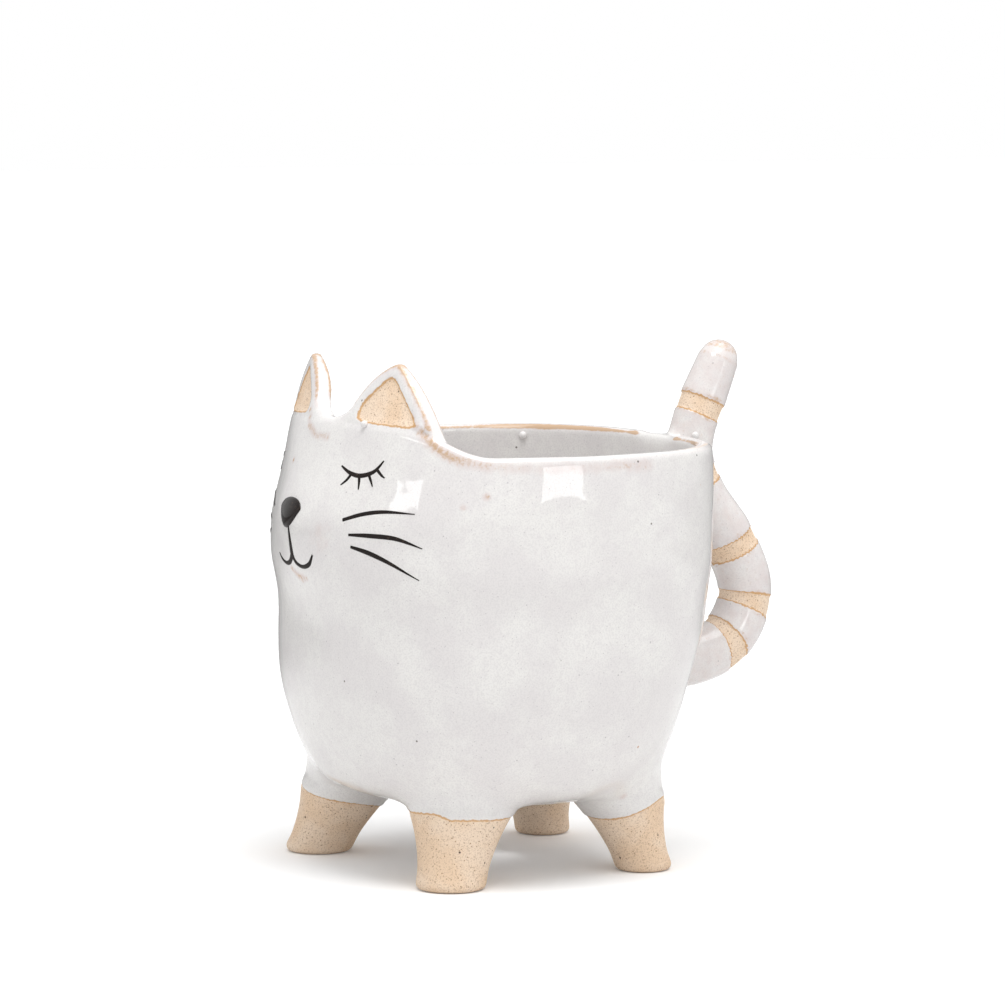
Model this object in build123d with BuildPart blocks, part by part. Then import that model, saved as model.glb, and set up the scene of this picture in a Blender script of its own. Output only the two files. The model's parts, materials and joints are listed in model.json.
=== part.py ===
from build123d import *
from math import cos, dist, exp, pi, radians, sin, sqrt

import os

os.makedirs("parts", exist_ok=True)

# A small stoneware planter in the shape of a sleeping cat. Millimetres, +Z up, standing on Z = 0.
# The cat faces -Y and its left side is +X. The origin is under the middle of the whole object.
# The clay parts are the ones a potter makes and lutes together before the firing, and thin
# solids stand for the finish where bare clay and glaze meet.

# The pot, measured from its own upright axis
rim_height = 115.0
half_width = 60.0
front_reach = 58.0
back_reach = 54.4
belly_clearance = 20.0
wall = 5.0
floor_thickness = 6.0
floor_corner = 14.0
rim_rounding = 2.0
corner_power = 2.5
drain_diameter = 10.0

# The muzzle swells out of the front of the pot, its middle well below the rim
muzzle_bulge = 4.4
muzzle_drop = 20.0
muzzle_half_width = 15.0
muzzle_half_height = 17.0

# The rim climbs at the front, where the ears stand on it
front_rim_rise = 7.5
front_rim_run = 20.0
front_rim_inset = 11.0

# The ears carry the wall up to two points, set in from the pot's sides, and thin out upwards
ear_height = 16.2
ear_inset = 34.5
ear_tip_wall = 2.4
ear_turn = 16.0
ear_inner_bulge = 2.0
ear_outer_bulge = 1.0
ear_inner_foot = 22.0
ear_inner_shoulder = 15.5
ear_shoulder_rise = 3.6
ear_outer_waist = 15.4
ear_waist_rise = 8.0
ear_outer_foot = 25.0
ear_tip_rounding = 2.6
ear_edge_rounding_share = 0.4

# The bare clay panel let into the front of each ear
panel_top_margin = 3.4
panel_inner_reach = 11.6
panel_outer_reach = 12.2
panel_shoulder_rise = 3.2
panel_foot_rise = 0.7
panel_bulge = 0.8
panel_rounding = 1.2
panel_depth = 0.9
panel_relief = 0.3

# The legs: a bare boot below the glaze line and a glazed root above it
leg_glaze_line = 19.5
leg_root_height = 17.0
leg_waist_share = 0.42
leg_spread = 1.45
front_foot_diameter = 18.6
front_leg_diameter = 29.2
front_foot_side_inset = 24.4
front_foot_end_inset = 22.4
front_splay = 7.4
rear_foot_diameter = 15.4
rear_leg_diameter = 26.6
rear_foot_side_inset = 26.5
rear_foot_end_inset = 23.4
rear_splay = 5.4
foot_rounding = 1.5
# The legs are set by hand, each a little off the even place, to the left and to the back
front_left_shift = (0.3, 3.0)
front_right_shift = (-0.5, -1.2)
rear_left_shift = (-0.3, -3.0)
rear_right_shift = (0.0, 1.8)

# The tail: one tapering coil in the middle plane, glazed between five bare bands
tail_root_diameter = 14.6
tail_tip_diameter = 11.8
tail_loop_reach = 24.9
tail_rise = 24.8
tail_root_drop = 63.6
tail_lean = 11.2
tail_bite = 0.8
glaze_thickness = 0.5
band_width = 4.6

# The nose pad
nose_width = 11.0
nose_height = 9.1
nose_drop = 17.0
nose_side_shift = -0.9
nose_rise = 1.1
nose_corner_rounding = 1.5
nose_edge_rounding = 0.5
nose_shoulder_share = 0.18

# How far cutting shapes run past what they cut
overrun = 20.0

# Sizes that follow from the ones above
body_height = rim_height - belly_clearance
floor_top = belly_clearance + floor_thickness
muzzle_height = rim_height - muzzle_drop
nose_up = rim_height - nose_drop
front_rim_height = rim_height + front_rim_rise
front_rim_end = front_reach - front_rim_inset
front_rim_start = front_rim_end - front_rim_run
ear_tip_height = front_rim_height + ear_height
ear_side = half_width - ear_inset
ear_middle_y = -front_rim_end
tail_reach = back_reach + tail_loop_reach
tail_outer_reach = tail_reach + tail_root_diameter / 2
tail_height = rim_height + tail_rise
tail_root_height = rim_height - tail_root_drop
far_up = max(ear_tip_height, tail_height) + overrun

# The outer form from the belly to above the rim: shares of height, width, front and back
outline_shares = [
    (0.000, 0.58, 0.62, 0.55),
    (0.020, 0.69, 0.73, 0.66),
    (0.070, 0.800, 0.835, 0.755),
    (0.153, 0.870, 0.882, 0.800),
    (0.274, 0.935, 0.927, 0.848),
    (0.419, 0.972, 0.944, 0.905),
    (0.588, 0.995, 0.963, 0.960),
    (0.734, 1.000, 0.995, 0.992),
    (0.842, 0.995, 0.970, 1.000),
    (0.939, 0.982, 0.925, 1.000),
    (1.000, 0.970, 0.903, 0.998),
    (1.090, 0.954, 0.868, 0.992),
    (1.190, 0.928, 0.824, 0.980),
    (1.290, 0.900, 0.780, 0.965),
]
# Heights of the cavity's sections, from the floor to the rim
cavity_height_shares = [0.0, 0.025, 0.07, 0.16, 0.33, 0.50, 0.66, 0.80, 0.92, 1.0]
section_points = 24


def outline_point(turn, width, front, back):
    """A point of the pot's squared oval plan, turn running once round from +X."""
    c = cos(turn)
    s = sin(turn)
    length = back if s > 0 else front
    x = width * abs(c) ** (2 / corner_power) * (1 if c > 0 else -1)
    y = length * abs(s) ** (2 / corner_power) * (1 if s > 0 else -1)
    return x, y


def muzzle_push(x, height):
    """How far the muzzle swells forward at a place on the front of the pot."""
    across = x / muzzle_half_width
    up = (height - muzzle_height) / muzzle_half_height
    return muzzle_bulge * exp(-(across * across + up * up))


def shares_at(height):
    """The width, front and back shares of the outer form at any height."""
    share = (height - belly_clearance) / body_height
    rows = zip(outline_shares, outline_shares[1:])
    low, high = next(pair for pair in rows if share <= pair[1][0] or pair[1] is outline_shares[-1])
    part_way = (share - low[0]) / (high[0] - low[0])
    return [a + (b - a) * part_way for a, b in zip(low[1:], high[1:])]


def section_at(height, inset, muzzle_share):
    """The points of one level section, drawn in from the outer form by inset."""
    width_share, front_share, back_share = shares_at(height)
    points = []
    for index in range(section_points):
        turn = 2 * pi * (index + 0.5) / section_points
        x, y = outline_point(
            turn,
            half_width * width_share - inset,
            front_reach * front_share - inset,
            back_reach * back_share - inset,
        )
        if y < 0:
            y -= muzzle_share * muzzle_push(x, height)
        points.append((x, y))
    return points


def travelled(points):
    """The share of the way round a closed section at each of its points, ending at 1."""
    ring = points + points[:1]
    steps = [dist(a, b) for a, b in zip(ring, ring[1:])]
    return [sum(steps[:index]) / sum(steps) for index in range(len(ring))]


# Every section passes its points at the same shares of its way, so the lofts stay light
way_shares = travelled(section_at(rim_height, 0, 0))

# The nose reaches furthest forward and the tail furthest back, which places the pot's axis
muzzle_front = front_reach * shares_at(nose_up)[1] + muzzle_push(0, nose_up)
nose_reach = muzzle_front + nose_rise
axis_y = (nose_reach - tail_outer_reach) / 2


def closed_curve(points):
    """A smooth closed curve through the points of a section."""
    return Edge.make_spline(points, periodic=True, parameters=way_shares)


def pot_plane(height):
    """The level plane at one height, with its origin on the pot's axis."""
    return Plane(origin=(0, axis_y, height))


def outer_form(inset):
    """The pot's outer form as a closed solid, carried up past the ears."""
    heights = [belly_clearance + body_height * row[0] for row in outline_shares]
    with BuildPart() as form:
        for height in heights + [far_up]:
            with BuildSketch(pot_plane(height)):
                with BuildLine():
                    add(closed_curve(section_at(height, inset, 1)))
                make_face()
        loft()
    return form.part


def cavity_inset(height):
    """How far the cavity stands in from the outer form: more at the floor, less up the ears."""
    above_floor = min(height - floor_top, floor_corner)
    from_centre = floor_corner - above_floor
    up_the_ear = min(max(height - front_rim_height, 0) / ear_height, 1)
    wall_here = wall + (ear_tip_wall - wall) * up_the_ear
    return wall_here + floor_corner - sqrt(floor_corner**2 - from_centre**2)


# The outer form, the space inside and everything above the rim, which shape several pieces
body_form = outer_form(0)

cavity_heights = [floor_top + (rim_height - floor_top) * share for share in cavity_height_shares]
with BuildPart() as cavity_form:
    for height in cavity_heights + [front_rim_height, ear_tip_height, far_up]:
        with BuildSketch(pot_plane(height)):
            with BuildLine():
                add(closed_curve(section_at(height, cavity_inset(height), 0)))
            make_face()
    loft()

side_plane = Plane(origin=(0, axis_y, 0), x_dir=(0, 1, 0), z_dir=(1, 0, 0))
far_back = tail_outer_reach + overrun
far_front = -nose_reach - overrun
with BuildPart() as above_rim:
    with BuildSketch(side_plane):
        with BuildLine():
            level = Line((far_back, rim_height), (-front_rim_start, rim_height))
            climb = Spline(
                level @ 1,
                (-front_rim_end, front_rim_height),
                tangents=[(-1, 0), (-1, 0)],
            )
            Polyline(
                climb @ 1,
                (far_front, front_rim_height),
                (far_front, far_up),
                (far_back, far_up),
                level @ 0,
            )
        make_face()
    extrude(amount=half_width + overrun, both=True)

# Where a leg's sections lie on its bare boot and on its glazed root
boot_shares = (0, 0.5, 1)
root_shares = (0, 0.5, 1)
legs = {
    "front_left": (1, -1, front_left_shift),
    "front_right": (-1, -1, front_right_shift),
    "rear_left": (1, 1, rear_left_shift),
    "rear_right": (-1, 1, rear_right_shift),
}


def leg_section(leg, height):
    """The plane and radius of a splayed leg's section at one height."""
    side_sign, back_sign, shift = leg
    if back_sign < 0:
        side, along = half_width - front_foot_side_inset, front_reach - front_foot_end_inset
        foot, top, splay = front_foot_diameter, front_leg_diameter, front_splay
    else:
        side, along = half_width - rear_foot_side_inset, back_reach - rear_foot_end_inset
        foot, top, splay = rear_foot_diameter, rear_leg_diameter, rear_splay
    share = height / leg_glaze_line
    x = side_sign * (side - splay * share) + shift[0]
    y = back_sign * (along - splay * share) + shift[1]
    if share <= 1:
        growth = leg_waist_share * share + (1 - leg_waist_share) * share**3
        radius = (foot + (top - foot) * growth) / 2
    else:
        up_the_root = (height - leg_glaze_line) / leg_root_height
        radius = top / 2 * (1 + (leg_spread - 1) * up_the_root**2)
    return Plane(origin=(x, axis_y + y, height)), radius


# The pot: outer form and leg roots, hollowed, with its rim cut and rounded and a drain hole
with BuildPart() as pot_body:
    add(body_form)
    for leg in legs.values():
        for root_share in root_shares:
            root_plane, root_radius = leg_section(leg, leg_glaze_line + leg_root_height * root_share)
            with BuildSketch(root_plane):
                Circle(root_radius)
        loft()
    add(cavity_form.part, mode=Mode.SUBTRACT)
    add(above_rim.part, mode=Mode.SUBTRACT)
    rim_edges = pot_body.edges().filter_by_position(Axis.Z, rim_height - wall / 2, far_up)
    fillet(rim_edges, rim_rounding)
    with Locations(pot_plane(floor_top)):
        Hole(drain_diameter / 2)
pot_body.part.label = "pot_body"
export_step(pot_body.part, "parts/pot_body.step")

# The bare boots, one for each leg, seated under the glazed roots and rounded at the foot
for leg_name, leg in legs.items():
    with BuildPart() as leg_boot:
        for boot_share in boot_shares:
            boot_plane, boot_radius = leg_section(leg, leg_glaze_line * boot_share)
            with BuildSketch(boot_plane):
                Circle(boot_radius)
        loft()
        fillet(leg_boot.faces().sort_by(Axis.Z)[0].edges(), foot_rounding)
    leg_boot.part.label = "leg_" + leg_name
    export_step(leg_boot.part, "parts/leg_" + leg_name + ".step")

# The ears: the wall carried on up from the rim, cut to a rounded three-cornered outline
ear_plane = Plane(
    origin=(ear_side, axis_y + ear_middle_y, 0),
    x_dir=(cos(radians(ear_turn)), sin(radians(ear_turn)), 0),
    z_dir=(sin(radians(ear_turn)), -cos(radians(ear_turn)), 0),
)
shoulder = (-ear_inner_shoulder, front_rim_height + ear_shoulder_rise)
tip = (0, ear_tip_height)
waist = (ear_outer_waist, rim_height + ear_waist_rise)


def bulged(start, end, bulge):
    """The middle point of an arc from start to end that stands out by bulge."""
    run = end[0] - start[0]
    climb = end[1] - start[1]
    span = sqrt(run * run + climb * climb)
    return (
        (start[0] + end[0]) / 2 - bulge * climb / span,
        (start[1] + end[1]) / 2 + bulge * run / span,
    )


# The panel's prism runs through the front face of the ear
panel_foot = front_rim_height + panel_foot_rise
panel_corners = [
    (-panel_inner_reach, panel_foot),
    (-panel_inner_reach, panel_foot + panel_shoulder_rise),
    (0, ear_tip_height - panel_top_margin),
    (panel_outer_reach, panel_foot),
]
with BuildPart() as panel_prism:
    with BuildSketch(ear_plane) as panel_outline:
        with BuildLine():
            left_corner, left_shoulder, top_corner, right_corner = panel_corners
            Line(left_corner, left_shoulder)
            ThreePointArc(left_shoulder, bulged(left_shoulder, top_corner, panel_bulge), top_corner)
            ThreePointArc(top_corner, bulged(top_corner, right_corner, panel_bulge), right_corner)
            Line(right_corner, left_corner)
        make_face()
        fillet(panel_outline.vertices(), panel_rounding)
    extrude(amount=overrun, both=True)
panel_face = outer_form(panel_relief)
panel_bed = outer_form(panel_depth)

with BuildPart() as ear_left:
    add(body_form)
    add(cavity_form.part, mode=Mode.SUBTRACT)
    add(above_rim.part, mode=Mode.INTERSECT)
    with BuildSketch(ear_plane) as ear_outline:
        with BuildLine():
            inner_foot = Line((-ear_inner_foot, front_rim_height), shoulder)
            ThreePointArc(shoulder, bulged(shoulder, tip, ear_inner_bulge), tip)
            outer_edge = ThreePointArc(tip, bulged(tip, waist, ear_outer_bulge), waist)
            sweep_out = Spline(
                waist,
                (ear_outer_foot, rim_height),
                tangents=[outer_edge % 1, (1, 0)],
            )
            Polyline(
                sweep_out @ 1,
                (ear_outer_foot, rim_height - overrun),
                (-ear_inner_foot, rim_height - overrun),
                inner_foot @ 0,
            )
        make_face()
        fillet(ear_outline.vertices().sort_by(Axis.Y)[-1], ear_tip_rounding)
    extrude(amount=overrun, both=True, mode=Mode.INTERSECT)
    ear_middle_height = (front_rim_height + ear_tip_height) / 2
    round_edges = ear_left.edges().filter_by_position(Axis.Z, ear_middle_height, ear_tip_height)
    fillet(round_edges, ear_tip_wall * ear_edge_rounding_share)

with BuildPart() as panel_recess:
    add(panel_prism.part)
    add(panel_bed, mode=Mode.SUBTRACT)

with BuildPart() as inner_ear_left:
    add(panel_prism.part)
    add(panel_face, mode=Mode.INTERSECT)
    add(panel_bed, mode=Mode.SUBTRACT)

with BuildPart() as recessed_ear:
    add(ear_left.part)
    add(panel_recess.part, mode=Mode.SUBTRACT)

# The other ear is the mirror image
centre_plane = Plane.YZ
for name, piece in (("ear", recessed_ear.part), ("inner_ear", inner_ear_left.part)):
    piece.label = name + "_left"
    export_step(piece, "parts/" + name + "_left.step")
    with BuildPart() as mirrored:
        mirror(piece, about=centre_plane)
    mirrored.part.label = name + "_right"
    export_step(mirrored.part, "parts/" + name + "_right.step")

# The tail's coil
wall_at_root = back_reach * shares_at(tail_root_height)[2]
contact_y = back_reach + tail_tip_diameter / 2 - tail_bite
# The loop's points: shares of its reach behind the pot and of its rise from root to rim
loop_shares = [(0.47, 0.02), (0.84, 0.12), (1.0, 0.28), (0.9, 0.445), (0.6, 0.62), (0.345, 0.79)]
# Part of the way up from the rim to the tip: shares of the lean and of the rise
lean_share = 0.28
lean_rise_share = 0.3
tail_points = [
    (wall_at_root - wall / 2, tail_root_height),
    (wall_at_root + wall, tail_root_height),
    *[
        (back_reach + tail_loop_reach * out, tail_root_height + tail_root_drop * up)
        for out, up in loop_shares
    ],
    (contact_y, rim_height - wall),
    (contact_y + tail_lean * lean_share, rim_height + tail_rise * lean_rise_share),
    (contact_y + tail_lean, tail_height),
]
with BuildLine(side_plane):
    tail_route = Spline(*tail_points)

# The tail's radius along its route: share of the length, share of the way from root to tip size
tail_radius_shares = [
    (0.00, 1.10),
    (0.10, 1.02),
    (0.21, 0.95),
    (0.31, 0.88),
    (0.41, 0.72),
    (0.52, 0.45),
    (0.64, 0.22),
    (0.76, 0.10),
    (0.88, 0.00),
]
# The rounded end: share of the length still to go, in tip radii, against share of the tip radius
tip_shares = [(0.9, 0.97), (0.45, 0.79), (0.15, 0.50), (0.0, 0.14)]
tail_stations = []
for length_share, root_share in tail_radius_shares:
    diameter = tail_tip_diameter + (tail_root_diameter - tail_tip_diameter) * root_share
    tail_stations.append((length_share, diameter / 2))
for to_go, radius_share in tip_shares:
    to_go_share = to_go * tail_tip_diameter / 2 / tail_route.length
    tail_stations.append((1 - to_go_share, tail_tip_diameter / 2 * radius_share))


def tail_plane(length_share):
    """The plane square to the tail's route at a share of its length."""
    return Plane(
        origin=tail_route.position_at(length_share),
        x_dir=(1, 0, 0),
        z_dir=tail_route.tangent_at(length_share),
    )


def tail_radius(length_share):
    """The clay's radius at a share of the tail's length."""
    rows = zip(tail_stations, tail_stations[1:])
    low, high = next(pair for pair in rows if length_share <= pair[1][0] or pair[1] is tail_stations[-1])
    return low[1] + (high[1] - low[1]) * (length_share - low[0]) / (high[0] - low[0])


with BuildPart() as tail:
    for length_share, radius in tail_stations:
        with BuildSketch(tail_plane(length_share)):
            Circle(radius)
    loft()
    add(body_form, mode=Mode.SUBTRACT)
tail.part.label = "tail"
export_step(tail.part, "parts/tail.step")

# The glaze on the tail: six sleeves that stand proud of the clay, with the bare bands between
band_place_shares = [0.247, 0.349, 0.484, 0.671, 0.848]
band_half_share = band_width / 2 / tail_route.length
sleeve_starts = [0.0] + [place + band_half_share for place in band_place_shares]
sleeve_ends = [place - band_half_share for place in band_place_shares] + [1.0]
sleeve_steps = 3
with BuildPart() as tail_glaze:
    for start, end in zip(sleeve_starts, sleeve_ends):
        stops = [start + (end - start) * step / sleeve_steps for step in range(sleeve_steps + 1)]
        if end == 1.0:
            stops = [start] + [share for share, _ in tail_stations if share > start]
        for stop in stops:
            sleeve_plane = tail_plane(stop)
            if stop == 1.0:
                sleeve_plane = sleeve_plane.offset(glaze_thickness)
            with BuildSketch(sleeve_plane):
                Circle(tail_radius(stop) + glaze_thickness)
        loft()
    add(tail.part, mode=Mode.SUBTRACT)
    add(body_form, mode=Mode.SUBTRACT)
tail_glaze.part.label = "tail_glaze"
export_step(tail_glaze.part, "parts/tail_glaze.step")

# The nose: a rounded three-cornered pad standing on the muzzle
nose_shoulder = nose_height * nose_shoulder_share
nose_plane = Plane(
    origin=(nose_side_shift, axis_y - nose_reach, nose_up),
    x_dir=(1, 0, 0),
    z_dir=(0, -1, 0),
)
with BuildPart() as nose:
    with BuildSketch(nose_plane) as nose_outline:
        with BuildLine():
            ThreePointArc(
                (-nose_width / 2, nose_shoulder),
                (0, nose_height / 2),
                (nose_width / 2, nose_shoulder),
            )
            Polyline(
                (nose_width / 2, nose_shoulder),
                (0, -nose_height / 2),
                (-nose_width / 2, nose_shoulder),
            )
        make_face()
        fillet(nose_outline.vertices(), nose_corner_rounding)
    extrude(amount=overrun, both=True)
    add(outer_form(-nose_rise), mode=Mode.INTERSECT)
    front_edges = nose.edges().filter_by_position(
        Axis.Y, axis_y - nose_reach - overrun, axis_y - muzzle_front + nose_rise
    )
    fillet(front_edges, nose_edge_rounding)
    add(body_form, mode=Mode.SUBTRACT)
nose.part.label = "nose"
export_step(nose.part, "parts/nose.step")
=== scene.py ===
# %% [markdown]
# # A sleeping cat planter in glazed stoneware
# The real pot is made of a speckled clay, given rolled legs, ears and a tail while it is
# leather-hard, then dipped in a thick white glaze. The feet, the insides of the ears and five
# rings on the tail are wiped bare. This lesson builds it the same way: one clay form first, then
# the glaze on it, then the painted face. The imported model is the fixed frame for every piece.

# %% Load the frame
import json
import math

import bmesh
import bpy
import numpy as np
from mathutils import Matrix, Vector, noise
from mathutils.bvhtree import BVHTree


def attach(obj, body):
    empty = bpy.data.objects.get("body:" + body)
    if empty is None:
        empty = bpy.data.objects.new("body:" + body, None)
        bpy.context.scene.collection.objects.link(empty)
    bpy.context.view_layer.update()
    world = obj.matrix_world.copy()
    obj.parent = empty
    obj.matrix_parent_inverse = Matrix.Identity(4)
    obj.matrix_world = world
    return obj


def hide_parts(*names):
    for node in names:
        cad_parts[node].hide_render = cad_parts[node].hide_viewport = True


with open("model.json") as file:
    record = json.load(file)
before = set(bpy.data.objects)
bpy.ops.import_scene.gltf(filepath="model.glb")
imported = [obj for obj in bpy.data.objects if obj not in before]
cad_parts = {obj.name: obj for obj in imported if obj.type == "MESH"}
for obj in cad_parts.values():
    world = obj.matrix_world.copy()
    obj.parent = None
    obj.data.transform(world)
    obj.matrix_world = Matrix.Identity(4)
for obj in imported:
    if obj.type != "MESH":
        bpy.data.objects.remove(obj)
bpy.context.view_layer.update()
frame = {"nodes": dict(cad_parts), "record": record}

MM = 0.001
print("frame nodes:", sorted(frame["nodes"]))

# %% [markdown]
# Everything is placed from the frame. The pot's own upright axis runs through its planting floor,
# and each foot stands where the record says, so these places are read and not typed again.

# %% Read the places that the frame gives
mounts = {mount["name"]: Vector(mount["pos_m"]) for mount in frame["record"]["mounts"]}
pot_axis_y = mounts["planting_floor"].y
leg_feet = {
    "leg_front_left": mounts["foot_front_left"],
    "leg_front_right": mounts["foot_front_right"],
    "leg_rear_left": mounts["foot_rear_left"],
    "leg_rear_right": mounts["foot_rear_right"],
}
print("pot axis at y =", round(pot_axis_y, 5))

# %% [markdown]
# The camera stands low and well back, as for a product picture: 62 degrees round from the cat's
# nose, looking 5.5 degrees down through a long lens, so that upright edges stay nearly parallel.
# The pot sits below the middle of the square picture, which moves the camera and not its shift.

# %% Camera
photo_width = 1005
focal_length_px = 4700
sensor_width = 36.0
camera_turn = math.radians(62.0)
camera_pitch = math.radians(5.47)
camera_distance = 1278.4 * MM
aim_height = 60 * MM
aim_pixel = (495.6, 640.65)

right = Vector((math.cos(camera_turn), math.sin(camera_turn), 0))
forward = Vector((
    -math.sin(camera_turn) * math.cos(camera_pitch),
    math.cos(camera_turn) * math.cos(camera_pitch),
    -math.sin(camera_pitch),
))
up = right.cross(forward)
metres_per_pixel = camera_distance / focal_length_px
aim = Vector((0, pot_axis_y, aim_height))
camera_data = bpy.data.cameras.new("camera")
camera_data.sensor_width = sensor_width
camera_data.lens = focal_length_px * sensor_width / photo_width
camera = bpy.data.objects.new("camera", camera_data)
camera.location = (
    aim
    - forward * camera_distance
    - right * (aim_pixel[0] - photo_width / 2) * metres_per_pixel
    + up * (aim_pixel[1] - photo_width / 2) * metres_per_pixel
)
camera.rotation_euler = (math.pi / 2 - camera_pitch, 0, camera_turn)
bpy.context.collection.objects.link(camera)
bpy.context.scene.camera = camera
print("camera at", [round(value, 4) for value in camera.location])

# %% [markdown]
# A mesh is easiest to shape as one array of points. These helpers read and write such arrays, and
# soften them: each point moves towards the middle of its neighbours, as a damp sponge does to clay.

# %% Helpers for points
def points_of(mesh):
    """The mesh's points as an array of three columns, in metres."""
    flat = np.empty(len(mesh.vertices) * 3)
    mesh.vertices.foreach_get("co", flat)
    return flat.reshape(-1, 3)


def normals_of(mesh):
    """The outward direction at each of the mesh's points."""
    flat = np.empty(len(mesh.vertices) * 3)
    mesh.vertex_normals.foreach_get("vector", flat)
    return flat.reshape(-1, 3)


def set_points(mesh, points):
    """Moves the mesh's points to the rows of an array."""
    mesh.vertices.foreach_set("co", points.ravel())
    mesh.update()


def edges_of(mesh):
    """The two ends of each of the mesh's edges, as rows of point numbers."""
    flat = np.empty(len(mesh.edges) * 2, dtype=np.int32)
    mesh.edges.foreach_get("vertices", flat)
    return flat.reshape(-1, 2)


def sponged(values, edges, rounds, weight=0.5):
    """The values after moving part of the way to their neighbours' mean, several times."""
    starts = np.concatenate([edges[:, 0], edges[:, 1]])
    ends = np.concatenate([edges[:, 1], edges[:, 0]])
    count = np.bincount(starts, minlength=len(values)).reshape(-1, 1)
    for _ in range(rounds):
        sums = [np.bincount(starts, column[ends], len(values)) for column in values.T]
        values = values + (np.stack(sums, axis=1) / count - values) * weight
    return values


def ramp(values, low, high):
    """0 below low, 1 above high, and a smooth rise between them."""
    share = np.clip((values - low) / (high - low), 0, 1)
    return share * share * (3 - 2 * share)


def waves(points, size, seed):
    """Smooth hills between -1 and 1 over space, about size metres across."""
    shift = Vector((seed * 7.3, seed * 3.1, seed * 5.7))
    return np.array([noise.noise(Vector(point) / size + shift) for point in points])


# %% [markdown]
# The tail is one coil of clay, rolled thinner towards its end, that leaves the back of the pot low
# down, loops out and up, and leans on the rim. Its route is a smooth curve through a few places,
# given as the distance behind the pot's axis and the height.

# %% The tail's route
tail_places_mm = [
    (50.0, 51.9), (60.6, 51.8), (71.0, 55.2), (77.3, 63.0), (78.5, 72.6), (73.1, 84.6),
    (64.9, 96.6), (61.0, 107.0), (61.6, 115.6), (64.9, 123.6), (69.5, 133.8), (72.0, 140.0),
]
tail_root_radius = 7.9 * MM
tail_loop_radius = 7.5 * MM
tail_rim_radius = 6.4 * MM
tail_tip_radius = 5.3 * MM
tail_top = 140.4 * MM
route_steps = 24


def smooth_route(places, steps):
    """A curve through the places that bends evenly, as rows of points."""
    rows = np.array([places[0], *places, places[-1]], dtype=float)
    curve = []
    for before, start, end, after in zip(rows, rows[1:], rows[2:], rows[3:]):
        for step in range(steps):
            t = step / steps
            curve.append(0.5 * (
                2 * start
                + (end - before) * t
                + (2 * before - 5 * start + 4 * end - after) * t ** 2
                + (3 * start - before - 3 * end + after) * t ** 3
            ))
    curve.append(rows[-1])
    return np.array(curve)


flat_route = smooth_route(tail_places_mm, route_steps) * MM
route = np.column_stack([np.zeros(len(flat_route)), flat_route[:, 0] + pot_axis_y, flat_route[:, 1]])
route = route[route[:, 2] < tail_top - tail_tip_radius]
travelled = np.concatenate([[0], np.cumsum(np.linalg.norm(np.diff(route, axis=0), axis=1))])
tail_length = travelled[-1] + tail_tip_radius
route_radius = np.interp(
    travelled / tail_length,
    [0.0, 0.1, 0.3, 0.5, 0.72, 0.86, 1.0],
    [
        tail_root_radius, tail_root_radius, tail_loop_radius, tail_loop_radius,
        tail_rim_radius, tail_rim_radius, tail_tip_radius,
    ],
)
route_along = np.gradient(route, axis=0)
route_along /= np.linalg.norm(route_along, axis=1, keepdims=True)
print("tail length", round(tail_length / MM, 1), "mm")

# %% [markdown]
# The coil itself is a tube of rings round that route, closed by a round end. It only has to be a
# sound lump of clay here, because the next step merges it with the pot.

# %% Roll the tail
ring_sides = 32
cap_steps = 8


def tail_tube():
    """The tail's coil as points and faces."""
    centres = list(route)
    directions = list(route_along)
    radii = list(route_radius)
    for step in range(1, cap_steps):
        angle = math.pi / 2 * step / cap_steps
        centres.append(route[-1] + route_along[-1] * tail_tip_radius * math.sin(angle))
        directions.append(route_along[-1])
        radii.append(tail_tip_radius * math.cos(angle))
    points = []
    for centre, direction, radius in zip(centres, directions, radii):
        side = np.array([1.0, 0.0, 0.0])
        out = np.cross(side, direction)
        for corner in range(ring_sides):
            turn = 2 * math.pi * corner / ring_sides
            points.append(centre + radius * (side * math.cos(turn) + out * math.sin(turn)))
    faces = [list(range(ring_sides))]
    for ring in range(len(centres) - 1):
        for corner in range(ring_sides):
            after = (corner + 1) % ring_sides
            low, high = ring * ring_sides, (ring + 1) * ring_sides
            faces.append([low + corner, high + corner, high + after, low + after])
    faces.append([len(points) - 1 - corner for corner in range(ring_sides)])
    return points, faces


# %% [markdown]
# Pot, ears, legs and tail are merged into one skin, as the luted joints are smoothed over on the
# real pot. A voxel remesh does that: it drops every inner wall and gives even quads all over.

# %% Merge the clay parts
skin_nodes = ["pot_body", "ear_left", "ear_right", "inner_ear_left", "inner_ear_right"] + list(leg_feet)
fine_voxel, quick_voxel = 0.55 * MM, 1.0 * MM
skin_voxel = fine_voxel
weld_distance = 0.001 * MM


def merged_skin():
    """The clay parts and the tail as one closed mesh of even quads."""
    lump = bmesh.new()
    for node in skin_nodes:
        lump.from_mesh(frame["nodes"][node].data)
    points, faces = tail_tube()
    corners = [lump.verts.new(point) for point in points]
    for face in faces:
        lump.faces.new([corners[index] for index in face])
    bmesh.ops.remove_doubles(lump, verts=lump.verts, dist=weld_distance)
    rough = bpy.data.meshes.new("rough")
    lump.to_mesh(rough)
    lump.free()
    holder = bpy.data.objects.new("rough", rough)
    bpy.context.collection.objects.link(holder)
    voxels = holder.modifiers.new("voxels", "REMESH")
    voxels.mode = "VOXEL"
    voxels.voxel_size = skin_voxel
    graph = bpy.context.evaluated_depsgraph_get()
    skin = bpy.data.meshes.new_from_object(holder.evaluated_get(graph))
    bpy.data.objects.remove(holder)
    return skin


skin = merged_skin()
print("skin:", len(skin.vertices), "points")

# %% [markdown]
# The remesh leaves tiny steps, and the legs meet the belly in a sharp line. A light sponge takes
# away the steps everywhere. A wet sponge fills the joints: long strokes round the leg roots, and
# shorter ones in the valley between the ears and where the tail meets the rim.

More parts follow.
